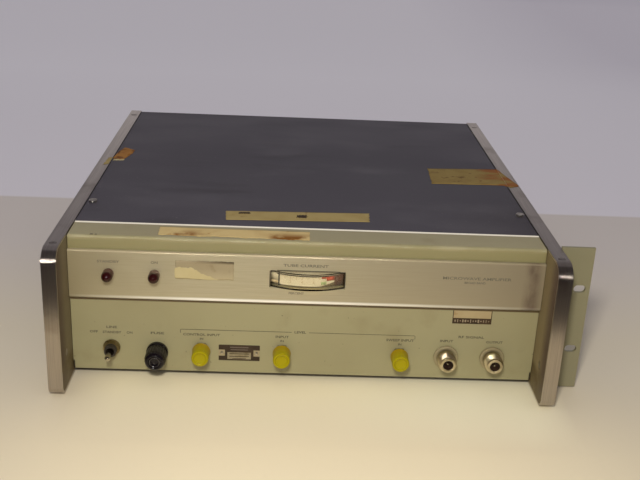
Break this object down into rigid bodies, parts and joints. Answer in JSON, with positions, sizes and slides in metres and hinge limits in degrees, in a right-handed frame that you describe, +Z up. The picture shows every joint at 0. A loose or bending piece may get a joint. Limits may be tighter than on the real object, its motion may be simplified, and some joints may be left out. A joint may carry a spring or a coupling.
{
  "type": "microwave amplifier",
  "caption": "Rack-width bench microwave amplifier: box cabinet on cast side frames with satin edge bands, control panel with lamps, meter, switch, fuse and coaxial jacks, one rack ear.",
  "frame": {"origin": "bottom middle of the outline, rack ear included, on the surface it stands on", "axes": "+X to the right of a person facing the panel, +Y from the panel to the back, +Z up"},
  "size_m": [0.454, 0.46, 0.1338],
  "materials": {
    "frame_casting": "painted olive tan casting",
    "satin_band": "satin brushed",
    "cover_paint": "dusty charcoal paint",
    "panel_paint": "semi-matt olive grey paint",
    "panel_metal": "satin, warm",
    "chassis_metal": "bare sheet",
    "screw_steel": "plated",
    "dark_screw": "darkened",
    "foot_rubber": "matt",
    "switch_case": "moulded",
    "nickel": "nickel plated",
    "jack_plate": "dulled plating",
    "black_plastic": "moulded",
    "fuse_glass": "clear with metal ends",
    "cap_yellow": "soft vinyl",
    "lens_red": "translucent red",
    "neon_glass": "clear",
    "meter_plastic": "moulded",
    "clear_plastic": "clear moulding",
    "scale_cream": "printed",
    "pointer_black": "painted",
    "magnet_iron": "plated",
    "tube_metal": "gold-coloured plating",
    "copper_line": "bare copper jacket",
    "transformer_iron": "painted",
    "can_metal": "bare",
    "socket_brown": "moulded",
    "valve_glass": "clear",
    "board_green": "laminate",
    "component_body": "moulded",
    "fan_plastic": "moulded",
    "matte_slider": "moulded"
  },
  "bodies": {
    "cabinet": {"left_side_frame": "frame_casting", "right_side_frame": "frame_casting", "left_edge_band": "satin_band", "right_edge_band": "satin_band", "left_side_cover": "cover_paint", "right_side_cover": "cover_paint", "top_cover": "cover_paint", "bottom_cover": "cover_paint", "top_rail": "panel_paint", "upper_panel": "panel_metal", "lower_panel": "panel_paint", "sub_panel": "chassis_metal", "rear_panel": "chassis_metal", "chassis_deck": "chassis_metal", "rack_ear": "panel_paint", "ear_screws": "screw_steel", "band_screws": "dark_screw", "cover_screws": "screw_steel", "feet": "foot_rubber", "line_switch_body": "switch_case", "line_switch_nut": "nickel", "fuse_holder": "black_plastic", "modulation_jack_left": "nickel", "modulation_jack_middle": "nickel", "modulation_jack_right": "nickel", "rf_input_jack": "jack_plate", "rf_output_jack": "jack_plate", "jack_nuts": "nickel", "standby_lamp_lens": "lens_red", "on_lamp_lens": "lens_red", "lamp_holders": "black_plastic", "neon_lamps": "neon_glass", "meter_case": "meter_plastic", "meter_window": "clear_plastic", "meter_scale": "scale_cream", "meter_movement": "magnet_iron", "travelling_wave_tube": "tube_metal", "tube_saddles": "can_metal", "rf_input_line": "copper_line", "rf_output_line": "copper_line", "power_transformer": "transformer_iron", "filter_choke": "transformer_iron", "filter_capacitors": "can_metal", "valve_sockets": "socket_brown", "regulator_valves": "valve_glass", "circuit_board": "board_green", "board_components": "component_body", "fan_housing": "fan_plastic", "fan_guard": "screw_steel", "power_inlet": "black_plastic", "voltage_switch": "black_plastic"},
    "line_switch_lever": {"line_switch_lever": "nickel"},
    "fuse": {"fuse_cartridge": "fuse_glass"},
    "fuse_knob": {"fuse_cap": "black_plastic"},
    "left_cap": {"dust_cap_left": "cap_yellow"},
    "middle_cap": {"dust_cap_middle": "cap_yellow"},
    "right_cap": {"dust_cap_right": "cap_yellow"},
    "pointer": {"meter_pointer": "pointer_black"},
    "rotor": {"fan_rotor": "fan_plastic"},
    "voltage_slider": {"voltage_slider": "matte_slider"}
  },
  "joints": [
    {"name": "line_switch_throw", "type": "hinge", "parent": "cabinet", "child": "line_switch_lever", "pos_m": [-0.18122, -0.1915, 0.0277], "axis": [0, 0, 1], "range_deg": [-12, 12]},
    {"name": "fuse_pull", "type": "slide", "parent": "cabinet", "child": "fuse", "axis": [0, -1, 0], "range_m": [0, 0.05]},
    {"name": "fuse_cap_turn", "type": "hinge", "parent": "fuse", "child": "fuse_knob", "pos_m": [-0.14203, -0.189, 0.0247], "axis": [0, -1, 0], "range_deg": [0, 90]},
    {"name": "left_cap_pull", "type": "slide", "parent": "cabinet", "child": "left_cap", "axis": [0, -1, 0], "range_m": [0, 0.03]},
    {"name": "middle_cap_pull", "type": "slide", "parent": "cabinet", "child": "middle_cap", "axis": [0, -1, 0], "range_m": [0, 0.03]},
    {"name": "right_cap_pull", "type": "slide", "parent": "cabinet", "child": "right_cap", "axis": [0, -1, 0], "range_m": [0, 0.03]},
    {"name": "pointer_swing", "type": "hinge", "parent": "cabinet", "child": "pointer", "pos_m": [-0.01427, -0.1336, 0.0979], "axis": [0, 0, 1], "range_deg": [0, 46], "stiffness_Nm_per_rad": 0.0002},
    {"name": "fan_spin", "type": "hinge", "parent": "cabinet", "child": "rotor", "pos_m": [0.12948, 0.198, 0.088], "axis": [0, 1, 0], "continuous": true},
    {"name": "voltage_select", "type": "slide", "parent": "cabinet", "child": "voltage_slider", "axis": [1, 0, 0], "range_m": [0, 0.005]}
  ]
}
